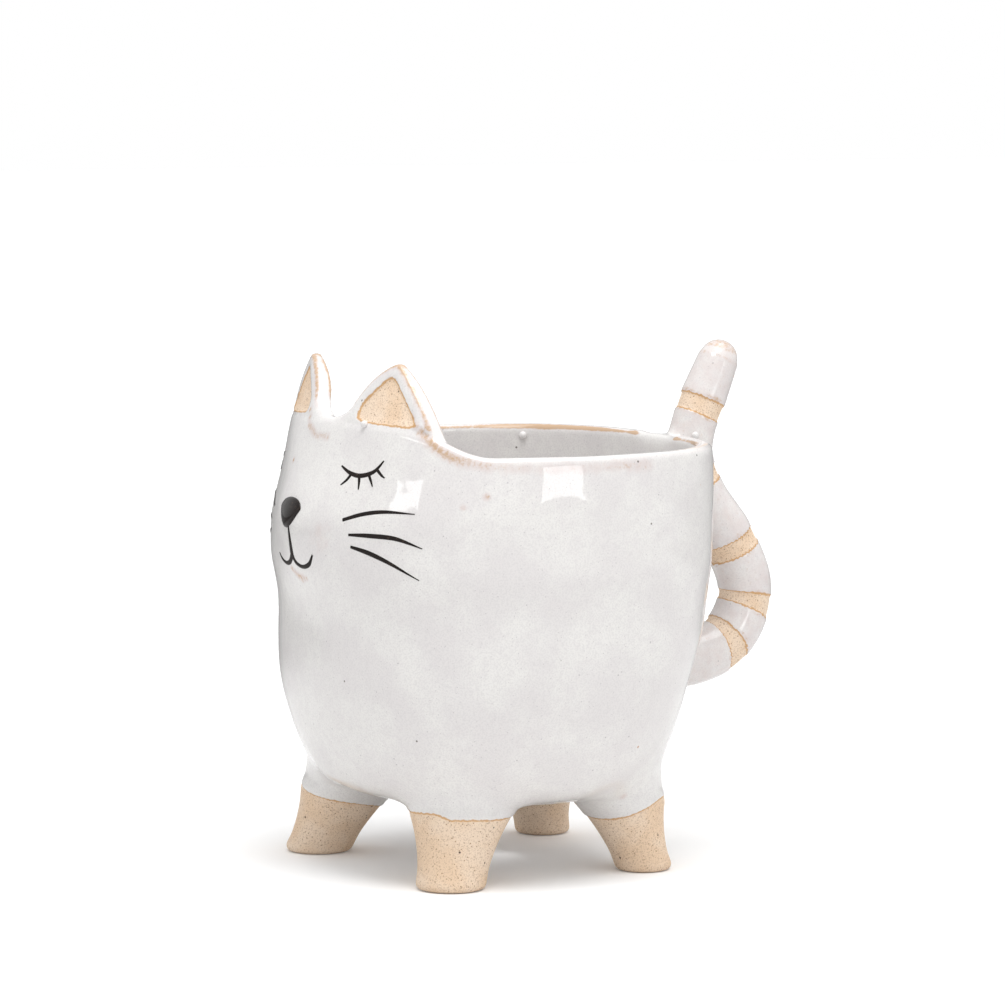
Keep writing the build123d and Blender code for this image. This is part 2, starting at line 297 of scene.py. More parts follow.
# %% Sponge the skin
fine_rounds = 4
rounds_per_voxel = (fine_voxel / skin_voxel) ** 2
leg_rounds = int(round(260 * rounds_per_voxel))
joint_rounds = int(round(70 * rounds_per_voxel))
leg_band_mm = (17, 24, 36, 46)
leg_reach_mm = (19, 27)
leg_lean_share = 0.85
joint_reach_mm = (6, 13)
valley_height = 122.5 * MM
tail_join = Vector((0, pot_axis_y + 54.5 * MM, 114 * MM))
out_of_reach = 1.0

edges = edges_of(skin)
shape = sponged(points_of(skin), edges, fine_rounds)
height_mm = shape[:, 2] / MM
belly_band = ramp(height_mm, *leg_band_mm[:2]) * (1 - ramp(height_mm, *leg_band_mm[2:]))
near_leg = np.zeros(len(shape))
for foot in leg_feet.values():
    reach = np.hypot(
        shape[:, 0] - foot.x * leg_lean_share,
        shape[:, 1] - pot_axis_y - (foot.y - pot_axis_y) * leg_lean_share,
    )
    near_leg = np.maximum(near_leg, 1 - ramp(reach / MM, *leg_reach_mm))
from_valley = np.hypot(shape[:, 0], shape[:, 2] - valley_height)
from_valley[shape[:, 1] > pot_axis_y] = out_of_reach
from_join = np.linalg.norm(shape - np.array(tail_join), axis=1)
near_joint = 1 - ramp(np.minimum(from_valley, from_join) / MM, *joint_reach_mm)
damp_shape = sponged(shape, edges, joint_rounds)
wet_shape = sponged(damp_shape, edges, leg_rounds)
shape = shape + (damp_shape - shape) * near_joint.reshape(-1, 1)
shape = shape + (wet_shape - shape) * (belly_band * near_leg).reshape(-1, 1)
set_points(skin, shape)
print("softened", int((belly_band * near_leg > 0.5).sum()), "points round the leg roots")

# %% [markdown]
# The hand that made the pot is in its form. The lower belly is a little fuller than the bucket it
# started as and was patted in below the tail. The ears were pinched outwards and back, more so
# towards their points, and the valley between them was drawn up a little.

# %% Press the form by hand
belly_swell = 0.8 * MM
belly_swell_mm = (26, 38, 62, 80)
tail_tuck = 1.7 * MM
tail_tuck_mm = (20, 34, 48, 68)
tail_tuck_from_mm, tail_tuck_to_mm = (12, 34), (48, 56)
ear_pinch_out = 1.4 * MM
ear_pinch_back = 1.1 * MM
ear_pinch_mm = (121, 138.7)
valley_draw = 1.1 * MM
valley_draw_mm = (112, 121)
valley_half_width = 9 * MM
tail_start_y = pot_axis_y + 50 * MM
facing_ramp = (0.1, 0.5)

shape = points_of(skin)
normals = normals_of(skin)
outward = shape - np.array([0, pot_axis_y, 0])
outward[:, 2] = 0
outward /= np.linalg.norm(outward, axis=1, keepdims=True) + 1e-9
outside = ramp((normals * outward).sum(axis=1), *facing_ramp)
height_mm = shape[:, 2] / MM
fullness = ramp(height_mm, *belly_swell_mm[:2]) * (1 - ramp(height_mm, *belly_swell_mm[2:]))
fullness[shape[:, 1] > tail_start_y] = 0
shape += outward * (belly_swell * outside * fullness).reshape(-1, 1)
behind_mm = (shape[:, 1] - pot_axis_y) / MM
tucked = ramp(height_mm, *tail_tuck_mm[:2]) * (1 - ramp(height_mm, *tail_tuck_mm[2:]))
tucked *= ramp(behind_mm, *tail_tuck_from_mm) * (1 - ramp(behind_mm, *tail_tuck_to_mm))
shape -= outward * (tail_tuck * outside * tucked).reshape(-1, 1)
pinch = np.clip((height_mm - ear_pinch_mm[0]) / (ear_pinch_mm[1] - ear_pinch_mm[0]), 0, 1)
pinch[shape[:, 1] > pot_axis_y] = 0
shape[:, 0] += np.sign(shape[:, 0]) * ear_pinch_out * pinch
shape[:, 1] += ear_pinch_back * pinch
in_valley = np.exp(-(shape[:, 0] / valley_half_width) ** 2) * ramp(height_mm, *valley_draw_mm)
in_valley[shape[:, 1] > pot_axis_y] = 0
shape[:, 2] += valley_draw * in_valley
set_points(skin, shape)
print("pinched:", int((pinch > 0).sum()), "points, patted in:", int((tucked > 0.5).sum()), "points")

# %% [markdown]
# Next each point is told how far it lies inside bare clay, in millimetres. Below a wavy line each
# foot is bare, because the glazer holds the pot by hand and wipes it. Outside the bare places the
# number is negative. Geometry and colour both use it, so glaze edge and colour edge stay together.

# %% Bare feet
foot_lines_mm = {
    "leg_front_left": (19.2, 0.8, 0.25, 242),
    "leg_front_right": (17.2, 4.4, 0.4, 242),
    "leg_rear_left": (17.4, 3.0, 0.4, 62),
    "leg_rear_right": (18.6, 0.8, 0.4, 300),
}
line_lobes = 3
leg_zone_top = 32 * MM
shape = points_of(skin)
normals = normals_of(skin)
far_away = -50.0

leg_reach = np.stack([
    np.hypot(shape[:, 0] - foot.x, shape[:, 1] - foot.y) for foot in leg_feet.values()
])
nearest_leg = leg_reach.argmin(axis=0)
bare_feet = np.full(len(shape), far_away)
for index, (name, (middle, tilt, wave, tilt_turn)) in enumerate(foot_lines_mm.items()):
    foot = leg_feet[name]
    turn = np.arctan2(shape[:, 1] - foot.y, shape[:, 0] - foot.x)
    line = middle + tilt * np.cos(turn - math.radians(tilt_turn))
    line = line + wave * np.sin(line_lobes * turn + index)
    mine = (nearest_leg == index) & (shape[:, 2] < leg_zone_top)
    bare_feet[mine] = (line - shape[:, 2] / MM)[mine]
print("bare on the feet:", int((bare_feet > 0).sum()), "points")

# %% [markdown]
# Inside each ear a panel is bare, a triangle with its inner corner cut upright. It lies in the
# slanting plane of the ear, so its corners are given there: out from the middle of the ear and up.

# %% Bare ear panels
ear_side_mm = 25.5
ear_back_mm = -47.0
ear_turn = math.radians(16.0)
panel_corners_mm = [(-11.6, 123.2), (-11.6, 126.4), (0.4, 135.6), (13.0, 121.9)]
panel_softness_mm = 1.2
panel_facing = 0.3
farthest_mm = 30
ear_foot_height = 118 * MM


def inside_corners(out, rise, corners, softness):
    """How far each place lies inside an outline with soft corners."""
    nearest = np.zeros(len(out))
    for (x0, z0), (x1, z1) in zip(corners, corners[1:] + corners[:1]):
        length = math.hypot(x1 - x0, z1 - z0)
        distance = ((out - x0) * (z1 - z0) - (rise - z0) * (x1 - x0)) / length
        nearest += np.exp(-np.clip(distance, -farthest_mm, farthest_mm) / softness)
    return -softness * np.log(nearest)


side = np.where(shape[:, 0] > 0, 1.0, -1.0)
ear_x = shape[:, 0] * side / MM - ear_side_mm
ear_y = (shape[:, 1] - pot_axis_y) / MM - ear_back_mm
ear_out = ear_x * math.cos(ear_turn) + ear_y * math.sin(ear_turn)
faces_front = normals[:, 0] * side * math.sin(ear_turn) - normals[:, 1] * math.cos(ear_turn)
on_ear = (shape[:, 2] > ear_foot_height) & (faces_front > panel_facing) & (shape[:, 1] < pot_axis_y)
bare_ears = np.where(
    on_ear,
    inside_corners(ear_out, shape[:, 2] / MM, panel_corners_mm, panel_softness_mm),
    far_away,
)
print("bare on the ears:", int((bare_ears > 0).sum()), "points")

# %% [markdown]
# The tail's five rings are measured along its route. Every point near the route finds its nearest
# place on it, which gives the distance travelled, and each ring is a short stretch of that. The
# ring's edges wander a little round the coil, as a wiped edge does, and the lower two rings slant.

# %% Bare rings on the tail
ring_place_shares = [0.197, 0.312, 0.460, 0.654, 0.827]
ring_tilts_mm = [1.3, 1.3, 0.0, 0.0, 0.0]
ring_half_width_mm = 2.35
ring_wander_mm = 0.35
ring_wander_size = 11 * MM
tail_skin_slack = 0.5 * MM
tip_zone_height = 120 * MM
tail_clear_y = pot_axis_y + 54.2 * MM

behind = np.where(shape[:, 1] > tail_start_y)[0]
nearest_place = np.array([((route - shape[index]) ** 2).sum(axis=1).argmin() for index in behind])
gap = np.linalg.norm(route[nearest_place] - shape[behind], axis=1) - route_radius[nearest_place]
beyond_tip = (nearest_place == len(route) - 1) & (shape[behind, 2] > tip_zone_height)
on_tail = behind[(gap < tail_skin_slack) | beyond_tip]
tail_place = np.zeros(len(shape))
tail_place[behind] = travelled[nearest_place]
is_tail = np.zeros(len(shape), dtype=bool)
is_tail[on_tail] = True
is_tail &= shape[:, 1] > tail_clear_y

wander = np.zeros(len(shape))
wander[on_tail] = waves(shape[on_tail], ring_wander_size, 1) * ring_wander_mm
bare_tail = np.full(len(shape), far_away)
offset = shape[behind] - route[nearest_place]
heading = route_along[nearest_place]
outer = np.zeros(len(shape))
outer[behind] = (offset[:, 1] * heading[:, 2] - offset[:, 2] * heading[:, 1]) / tail_loop_radius
for share, tilt in zip(ring_place_shares, ring_tilts_mm):
    from_middle = np.abs((tail_place - share * tail_length) / MM + wander + tilt * outer)
    bare_tail = np.maximum(bare_tail, np.where(is_tail, ring_half_width_mm - from_middle, far_away))
bare = np.maximum(np.maximum(bare_feet, bare_ears), bare_tail)
print("bare on the tail:", int((bare_tail > 0).sum()), "points of", int(is_tail.sum()))

# %% [markdown]
# Glaze has thickness. Bare clay is pressed in by about a third of a millimetre, with a rounded
# step at the line. The whole skin also gets the shallow hollows that fingers leave, always inwards,
# so that nothing grows past the frame.

# %% Give the glaze its thickness
glaze_thickness = 0.38 * MM
hollow_depth = 0.45 * MM
hollow_size = 21 * MM
step_softness_mm = 0.35
step_fade_mm = (0.5, 6)
hollow_fade_mm = (20, 34)

height_mm = shape[:, 2] / MM
step_in = ramp(bare, -step_softness_mm, step_softness_mm) * glaze_thickness
step_in *= ramp(height_mm, *step_fade_mm)
hollows = (waves(shape, hollow_size, 2) * 0.5 + 0.5) * hollow_depth * ramp(height_mm, *hollow_fade_mm)
hollows *= 1 - is_tail
shape = shape - normals * (step_in + hollows).reshape(-1, 1)
set_points(skin, shape)
print("the glaze stands", round(glaze_thickness / MM, 2), "mm above the clay")

# %% [markdown]
# Glaze runs thin over edges and the clay shows through in tan. A point stands on an edge where the
# skin bulges past its own softened copy. The edges of the ears and the inner edge of the rim break
# most. The whole tail is also given a share of the thin-glaze tint, which makes it a little mauve and
# darker.

# %% Find the edges where the glaze is thin
edge_reach = 1.6 * MM
edge_rounds = int(round(2 * (edge_reach / skin_voxel) ** 2))
edge_blend_rounds = 3
ear_zone_mm, rim_zone_mm = 119, 110
outer_lip_share = 0.25
inner_lip_facing = (-0.2, 0.3)
tail_share = 0.34

rounded = sponged(shape, edges, edge_rounds)
normals = normals_of(skin)
bulge_mm = ((shape - rounded) * normals).sum(axis=1, keepdims=True) / MM
edge = sponged(bulge_mm, edges, edge_blend_rounds).ravel()
height_mm = shape[:, 2] / MM
facing_out = (normals * outward).sum(axis=1)
on_ears = (height_mm > ear_zone_mm) & ~is_tail
on_rim = (height_mm > rim_zone_mm) & (height_mm <= ear_zone_mm) & ~is_tail
edge_zones = ((on_ears, 56, 97, 0.72), (on_rim, 76, 97, 1.0), (is_tail, 50, 99, 0.55))
thin = np.zeros(len(shape))
for zone, low, high, strength in edge_zones:
    first, last = np.percentile(edge[zone], (low, high))
    thin[zone] = ramp(edge[zone], first, last) * strength
inner_lip = 1 - ramp(facing_out[on_rim], *inner_lip_facing)
thin[on_rim] *= outer_lip_share + (1 - outer_lip_share) * inner_lip
thin[is_tail] = np.maximum(thin[is_tail], tail_share)
print("thin glaze on the edges:", int((thin > 0.5).sum()), "points")

# %% [markdown]
# Below the rim, between the ears and under the mouth the glaze is thin along soft lines and in a few
# spots, as if it was rubbed there. No edge explains them, so they are listed one by one. Each stop of a
# line is given as degrees round from the front, height, size and share.

# %% Rub the glaze thin
rubbed_lines = [
    [
        (39, 124.5, 1.6, 0.50), (42, 121.2, 1.9, 0.66), (47, 117.2, 2.0, 0.74), (52, 114.4, 2.0, 0.66),
        (60, 112.8, 2.2, 0.50), (73, 112.2, 2.4, 0.38), (88, 112.0, 2.4, 0.40), (97, 112.0, 2.2, 0.48),
        (106, 111.8, 2.2, 0.40),
    ],
    [(-14, 124.0, 1.4, 0.60), (-11, 120.2, 1.5, 0.66), (-4, 118.0, 1.6, 0.60), (5, 117.8, 1.6, 0.50)],
    [(-5, 82.2, 1.5, 0.60), (-1, 80.2, 1.7, 0.70), (3, 80.4, 1.5, 0.50)],
]
rubbed_spots = [
    (12, 92, 5.0, 0.36), (-16, 110.3, 1.0, 0.8), (60, 105.1, 1.3, 0.6), (54.3, 102.2, 1.1, 0.55),
    (112.8, 21.5, 1.4, 0.5),
]
rubbed_step_degrees = 1.5
rubbed_radius_mm = 58.0

outer_side = ramp(facing_out, *facing_ramp)
turn_degrees = np.degrees(np.arctan2(shape[:, 0], pot_axis_y - shape[:, 1]))
rubs = list(rubbed_spots)
for line in rubbed_lines:
    stops = np.array(line)
    for turn in np.arange(stops[0, 0], stops[-1, 0], rubbed_step_degrees):
        rubs.append([turn] + [np.interp(turn, stops[:, 0], column) for column in stops.T[1:]])
for turn, height, size, strength in rubs:
    across = np.radians(turn_degrees - turn) * rubbed_radius_mm
    share = np.exp(-(across ** 2 + (height_mm - height) ** 2) / size ** 2)
    thin = np.maximum(thin, share * strength * outer_side)
print("thin glaze in all:", int((thin > 0.5).sum()), "points")

# %% [markdown]
# The skin is now cut into the pieces that the frame names: the glazed pot and ears, the bare feet
# and ear panels, and the tail's rings and glaze. Each keeps the whole skin's shading directions,
# so the cuts don't show.

# %% Cut the skin into pieces
ear_cut_height = 123 * MM
pieces = []


def cut_piece(name, node, wanted):
    """Makes a piece from the faces of the skin that a mask picks, in place of one of the nodes."""
    chosen = face_corners[wanted]
    used, flat = np.unique(chosen, return_inverse=True)
    mesh = bpy.data.meshes.new(name)
    mesh.from_pydata(shape[used].tolist(), [], flat.reshape(-1, 4).tolist())
    for label, values in (("bare", bare), ("thin", thin)):
        mesh.attributes.new(label, "FLOAT", "POINT").data.foreach_set("value", values[used])
    mesh.shade_smooth()
    mesh.normals_split_custom_set_from_vertices(normals[used].tolist())
    piece = bpy.data.objects.new(name, mesh)
    bpy.context.collection.objects.link(piece)
    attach(piece, "root")
    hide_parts(node)
    pieces.append(piece)


face_corners = np.empty(len(skin.polygons) * 4, dtype=np.int32)
skin.polygons.foreach_get("vertices", face_corners)
face_corners = face_corners.reshape(-1, 4)
face_bare = bare[face_corners].mean(axis=1) > 0
face_tail = is_tail[face_corners].mean(axis=1) > 0.5
face_middle = shape[face_corners].mean(axis=1)
face_leg = nearest_leg[face_corners[:, 0]]
face_low = face_middle[:, 2] < leg_zone_top
face_high = face_middle[:, 2] > ear_cut_height

for index, name in enumerate(leg_feet):
    cut_piece("bare_" + name, name, face_bare & face_low & (face_leg == index))
for name, sign in (("left", 1), ("right", -1)):
    on_side = ~face_tail & (face_middle[:, 0] * sign > 0)
    panel = face_bare & ~face_low & on_side
    cut_piece("bare_inner_ear_" + name, "inner_ear_" + name, panel)
    cut_piece("glazed_ear_" + name, "ear_" + name, ~face_bare & face_high & on_side)
cut_piece("bare_tail_rings", "tail", face_bare & face_tail)
cut_piece("glazed_tail", "tail_glaze", ~face_bare & face_tail)
cut_piece("glazed_pot", "pot_body", ~face_bare & ~face_tail & ~face_high)
print("pieces:", sorted(piece.name for piece in pieces))

# %% [markdown]
# A finish is a small network of nodes. The helper adds one node, sets its options and fills its
# inputs, either with a value or with another node's output, so that a network reads like a recipe.

# %% Helper for nodes
def put(tree, kind, inputs, **options):
    """Adds a node to a tree and returns it."""
    made = tree.nodes.new("ShaderNode" + kind)
    for option, value in options.items():
        setattr(made, option, value)
    for key, value in inputs.items():
        if isinstance(value, bpy.types.NodeSocket):
            tree.links.new(value, made.inputs[key])
        else:
            made.inputs[key].default_value = value
    return made


def value_ramp(tree, value, low, high):
    """0 where the value is below low and 1 above high."""
    inputs = {"Value": value, "From Min": low, "From Max": high}
    return put(tree, "MapRange", inputs, interpolation_type="SMOOTHSTEP").outputs["Result"]


def blend_colour(tree, share, first, second):
    """The first colour where the share is 0 and the second where it is 1."""
    mix = put(tree, "Mix", {"Factor": share}, data_type="RGBA")
    for socket, colour in ((mix.inputs[6], first), (mix.inputs[7], second)):
        if isinstance(colour, bpy.types.NodeSocket):
            tree.links.new(colour, socket)
        else:
            socket.default_value = (*colour, 1)
    return mix.outputs[2]


def times(tree, first, second):
    """The product of two values."""
    return put(tree, "Math", {0: first, 1: second}, operation="MULTIPLY").outputs[0]


def plus(tree, first, second):
    """The sum of two values."""
    return put(tree, "Math", {0: first, 1: second}, operation="ADD").outputs[0]


# %% [markdown]
# White glaze over speckled clay is one finish with two faces. The colour of the glaze drifts from
# warm white to a faint mauve and turns tan where it is thin. The clay is a warm sand colour, full of
# small brown grains. Iron in the clay bleeds through as specks of several sizes, so each kind of
# speck is a row of a table: its spacing and radius in mm, the share of places that have one, how
# strongly it shows, and its colour.

# %% Colours of the glaze and the clay
glaze_white = (0.80, 0.785, 0.765)
glaze_mauve = (0.715, 0.685, 0.685)
glaze_grey = (0.60, 0.58, 0.58)
glaze_blush = (0.66, 0.56, 0.54)
glaze_tan = (0.53, 0.34, 0.19)
speck_lilac = (0.36, 0.33, 0.35)
speck_dark = (0.10, 0.08, 0.07)
speck_rust = (0.48, 0.22, 0.09)
clay_sand = (0.79, 0.60, 0.43)
clay_pale = (0.84, 0.68, 0.53)
clay_grain = (0.34, 0.19, 0.10)
clay_dark = (0.07, 0.035, 0.02)
line_ochre = (0.58, 0.31, 0.10)
glaze_specks = [
    (1.3, 0.19, 0.6, 0.42, speck_lilac), (3.6, 0.27, 0.30, 0.6, speck_lilac),
    (7.0, 0.36, 0.55, 0.85, speck_dark), (15, 0.5, 0.45, 0.7, speck_rust),
]
clay_specks = [(1.0, 0.22, 0.75, 0.85, clay_grain), (3.4, 0.38, 0.38, 0.95, clay_dark)]
speck_core = 0.6
print("kinds of speck:", len(glaze_specks), "in the glaze,", len(clay_specks), "in the clay")

# %% [markdown]
# Both faces use the same network. Noise of several sizes gives the drift, the mottling and the fine
# frost of the glaze, and the numbers kept on the skin say where it is clay and where the glaze is
# thin. A little noise is added to both first, so that their edges are ragged as on the real pot. A
# thin ochre line marks where the glaze ends. Clay is rough and gritty and glaze is nearly a mirror.

# %% Glaze and clay
def fired_finish(name, roughness_glaze=0.04, roughness_clay=0.85):
    """White glaze where the skin is glazed and speckled clay where it is bare."""
    material = bpy.data.materials.new(name)
    material.use_nodes = True
    tree = material.node_tree
    tree.nodes.clear()
    place = put(tree, "TexCoord", {}).outputs["Object"]
    bare_value = put(tree, "Attribute", {}, attribute_name="bare").outputs["Fac"]
    thin_value = put(tree, "Attribute", {}, attribute_name="thin").outputs["Fac"]

    def cloud(size, detail=3.0, roughness=0.5):
        inputs = {"Vector": place, "Scale": 1 / size, "Detail": detail, "Roughness": roughness}
        return put(tree, "TexNoise", inputs).outputs["Fac"]

    def specks(size, radius, keep):
        """Small round spots: cells of one size, a dot of one radius in the share that is kept."""
        cells = put(tree, "TexVoronoi", {"Vector": place, "Scale": 1 / size})
        spot = value_ramp(tree, cells.outputs["Distance"], radius / size, radius / size * speck_core)
        chance = put(tree, "SeparateColor", {"Color": cells.outputs["Color"]}).outputs[0]
        kept = put(tree, "Math", {0: chance, 1: keep}, operation="LESS_THAN").outputs[0]
        return times(tree, spot, kept)

    def speckled(colour, kinds):
        """The colour with each kind of speck laid over it."""
        for size, radius, keep, strength, paint in kinds:
            share = times(tree, specks(size * MM, radius * MM, keep), strength)
            colour = blend_colour(tree, share, colour, paint)
        return colour

    ragged = plus(tree, bare_value, times(tree, plus(tree, cloud(1.0 * MM, 4.0), -0.5), 0.8))
    is_clay = value_ramp(tree, ragged, -0.08, 0.08)

    drift = value_ramp(tree, cloud(15 * MM), 0.38, 0.66)
    mottle = value_ramp(tree, cloud(2.6 * MM, 4.0), 0.40, 0.72)
    frost = value_ramp(tree, cloud(0.45 * MM, 2.0), 0.42, 0.64)
    glaze = blend_colour(tree, times(tree, drift, 0.65), glaze_white, glaze_mauve)
    glaze = blend_colour(tree, times(tree, mottle, 0.40), glaze, glaze_mauve)
    glaze = blend_colour(tree, times(tree, frost, 0.34), glaze, glaze_grey)
    broken = times(tree, cloud(1.1 * MM, 4.0, 0.7), 0.9)
    worn = value_ramp(tree, plus(tree, thin_value, broken), 0.86, 1.22)
    blush = value_ramp(tree, plus(tree, thin_value, times(tree, cloud(3 * MM), 0.5)), 0.36, 0.80)
    glaze = blend_colour(tree, times(tree, blush, 0.60), glaze, glaze_blush)
    glaze = blend_colour(tree, times(tree, worn, 0.85), glaze, glaze_tan)
    glaze = speckled(glaze, glaze_specks)

    sand = blend_colour(tree, value_ramp(tree, cloud(9 * MM), 0.35, 0.65), clay_sand, clay_pale)
    grains = value_ramp(tree, cloud(0.40 * MM, 3.0, 0.7), 0.50, 0.64)
    sand = blend_colour(tree, times(tree, grains, 0.50), sand, clay_grain)
    sand = speckled(sand, clay_specks)

    near_line = put(tree, "Math", {0: ragged, 1: -0.05}, operation="SUBTRACT").outputs[0]
    near_line = put(tree, "Math", {0: near_line}, operation="ABSOLUTE").outputs[0]
    on_line = times(tree, value_ramp(tree, near_line, 0.36, 0.10), 0.85)
    colour = blend_colour(tree, is_clay, glaze, sand)
    colour = blend_colour(tree, on_line, colour, line_ochre)

    roughness = put(
        tree, "MapRange", {"Value": is_clay, "To Min": roughness_glaze, "To Max": roughness_clay}
    ).outputs["Result"]
    grit = times(tree, times(tree, cloud(0.5 * MM, 3.0), is_clay), 0.12)
    ripple = times(tree, cloud(6 * MM, 1.0), 0.06)
    bump = put(tree, "Bump", {"Height": plus(tree, grit, ripple), "Strength": 0.6, "Distance": MM})
    shader = put(tree, "BsdfPrincipled", {
        "Base Color": colour, "Roughness": roughness, "Normal": bump.outputs["Normal"],
    })
    output = tree.nodes.new("ShaderNodeOutputMaterial")
    tree.links.new(shader.outputs["BSDF"], output.inputs["Surface"])
    return material


white_glaze = fired_finish("white_glaze_over_clay")
bare_clay = fired_finish("bare_speckled_clay")
for piece in pieces:
    finish = bare_clay if piece.name.startswith("bare_") else white_glaze
    piece.data.materials.append(finish)
print("finishes:", white_glaze.name, bare_clay.name)

# %% [markdown]
# The nose is a raised pad of black glaze. The face is drawn in black with a fine brush over lines
# that were cut into the clay: closed eyes with four lashes, a mouth and three whiskers a side. The
# brushed lines are duller than the pad, because the colour soaks into the cut.

# %% Black glaze
black_deep = (0.014, 0.010, 0.009)
black_thin = (0.06, 0.04, 0.03)
brush_break_size = 1.2 * MM


def black_finish(name, roughness, shine):
    """Warm black with a slight break where the brush ran thin."""
    material = bpy.data.materials.new(name)
    material.use_nodes = True
    tree = material.node_tree
    shader = tree.nodes["Principled BSDF"]
    place = put(tree, "TexCoord", {}).outputs["Object"]
    cloud = put(tree, "TexNoise", {"Vector": place, "Scale": 1 / brush_break_size, "Detail": 3.0})
    share = value_ramp(tree, cloud.outputs["Fac"], 0.55, 0.85)
    colour = blend_colour(tree, share, black_deep, black_thin)
    tree.links.new(colour, shader.inputs["Base Color"])
    shader.inputs["Roughness"].default_value = roughness
    shader.inputs["Specular IOR Level"].default_value = shine
    return material


pad_black = black_finish("black_glaze_pad", 0.08, 0.22)
line_black = black_finish("black_brushed_line", 0.5, 0.15)
nose_node = frame["nodes"]["nose"]
nose_node.data.materials.clear()
nose_node.data.materials.append(pad_black)
print("finishes:", pad_black.name, line_black.name)

# %% [markdown]
# A stroke is given by places on the pot: degrees round from the nose and height. A ray from outside
# finds the skin at each place. The stroke is a slim ribbon with a low domed section, as wide as the
# brush was pressed. The section is given as the share of the half width and the rise in mm.

# %% Helper for painted strokes
skin_tree = BVHTree.FromPolygons(shape.tolist(), face_corners.tolist())
cast_from = 90 * MM
stroke_section = ((-1.0, -0.12), (-0.7, 0.05), (0.0, 0.16), (0.7, 0.05), (1.0, -0.12))


def on_skin(turn_degrees, height):
    """The skin's point and outward direction at a turn from the nose and a height."""
    turn = math.radians(turn_degrees)
    outward = Vector((math.sin(turn), -math.cos(turn), 0))
    start = Vector((0, pot_axis_y, height)) + outward * cast_from
    point, direction, _, _ = skin_tree.ray_cast(start, -outward)
    return point, direction


def stroke(name, places, widths_mm, steps=10):
    """A domed ribbon on the skin through the places, with its width at each."""
    stops = [(turn, height, width) for (turn, height), width in zip(places, widths_mm)]
    centres = []
    for turn, height, width in smooth_route(stops, steps):
        point, direction = on_skin(turn, height * MM)
        centres.append((point, direction, width * MM / 2))
    points = []
    for index, (point, direction, half) in enumerate(centres):
        ahead = centres[min(index + 1, len(centres) - 1)][0]
        back = centres[max(index - 1, 0)][0]
        across = (ahead - back).cross(direction).normalized()
        points += [point + across * half * out + direction * rise * MM for out, rise in stroke_section]
    faces = []
    row_length = len(stroke_section)
    for index in range(len(centres) - 1):
        for corner in range(row_length - 1):
            low, high = index * row_length + corner, (index + 1) * row_length + corner
            faces.append([low, low + 1, high + 1, high])
    mesh = bpy.data.meshes.new(name)
    mesh.from_pydata(points, [], faces)
    mesh.shade_smooth()
    mesh.materials.append(line_black)
    piece = bpy.data.objects.new(name, mesh)
    bpy.context.collection.objects.link(piece)
    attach(piece, "root")


# %% [markdown]
# The near side of the face is drawn as it looks. The far side is a guess: the near strokes are
# mirrored about a middle line. For the whiskers that line runs through the mouth. For the eyes it is
# turned further round, because the far eye can't be seen from the camera and so has to sit there.

# %% Paint the face
whisker_middle = -2.4
eye_middle = -10.0
eye_strokes = {
    "lid": (
        [(14.8, 111.0), (19.2, 109.4), (23.4, 109.0), (28.0, 110.3), (31.2, 113.3)],
        (0.7, 1.4, 1.6, 1.4, 0.6),
    ),
    "lash_1": ([(19.7, 109.4), (18.2, 107.6), (16.3, 106.2)], (1.3, 1.1, 0.5)),
    "lash_2": ([(22.8, 109.1), (23.2, 107.1), (23.4, 105.4)], (1.3, 1.1, 0.5)),
    "lash_3": ([(26.2, 109.6), (27.4, 107.9), (28.3, 106.4)], (1.3, 1.0, 0.4)),
    "lash_4": ([(29.2, 110.8), (30.9, 109.5), (32.1, 108.9)], (1.2, 0.9, 0.4)),
}
whisker_strokes = {
    "whisker_1": ([(20.0, 97.4), (26.5, 99.3), (33.4, 100.3), (42.2, 100.2)], (1.2, 1.4, 1.2, 0.3)),
    "whisker_2": ([(22.5, 93.7), (29.5, 93.9), (37.3, 93.6), (44.5, 91.4)], (0.9, 1.5, 1.4, 0.3)),
    "whisker_3": ([(23.3, 90.6), (29.5, 89.3), (36.2, 86.9), (43.7, 83.1)], (1.0, 1.6, 1.2, 0.3)),
}
mouth_strokes = {
    "mouth_stem": ([(-3.4, 94.2), (-2.7, 90.5), (-2.6, 85.2)], (1.2, 2.1, 3.1)),
    "mouth_left": (
        [(-2.6, 86.3), (-1.0, 84.3), (2.5, 83.5), (6.3, 84.6), (8.6, 87.3)],
        (2.3, 1.8, 1.45, 1.6, 0.8),
    ),
    "mouth_right": (
        [(-2.6, 86.3), (-4.9, 84.3), (-8.0, 83.5), (-11.2, 84.3), (-12.9, 85.8)],
        (2.3, 1.8, 1.45, 1.4, 0.7),
    ),
}
for name, (places, widths) in mouth_strokes.items():
    stroke(name, places, widths)
for name, (places, widths) in {**eye_strokes, **whisker_strokes}.items():
    middle = eye_middle if name in eye_strokes else whisker_middle
    stroke(name + "_left", places, widths)
    stroke(name + "_right", [(2 * middle - turn, height) for turn, height in places], widths)
print("strokes:", len(mouth_strokes) + 2 * (len(eye_strokes) + len(whisker_strokes)))

# %% [markdown]
# The nose pad is a drop with its point down. Rings of the same outline, each smaller than the last,
# rise over the skin like a shallow dome, so the pad has soft edges and follows the muzzle.

# %% The nose pad
nose_turn = -4.7
nose_half_width = 6.7
nose_middle_height = 98.6
nose_rise_up = 2.9
nose_drop_down = 5.3
nose_taper = 0.32
nose_point_power = 1.3
nose_dome = 0.95
nose_edge_sink = 0.12
nose_corners = 40
nose_ring_shares = [1.0, 0.97, 0.92, 0.84, 0.72, 0.56, 0.36, 0.14]


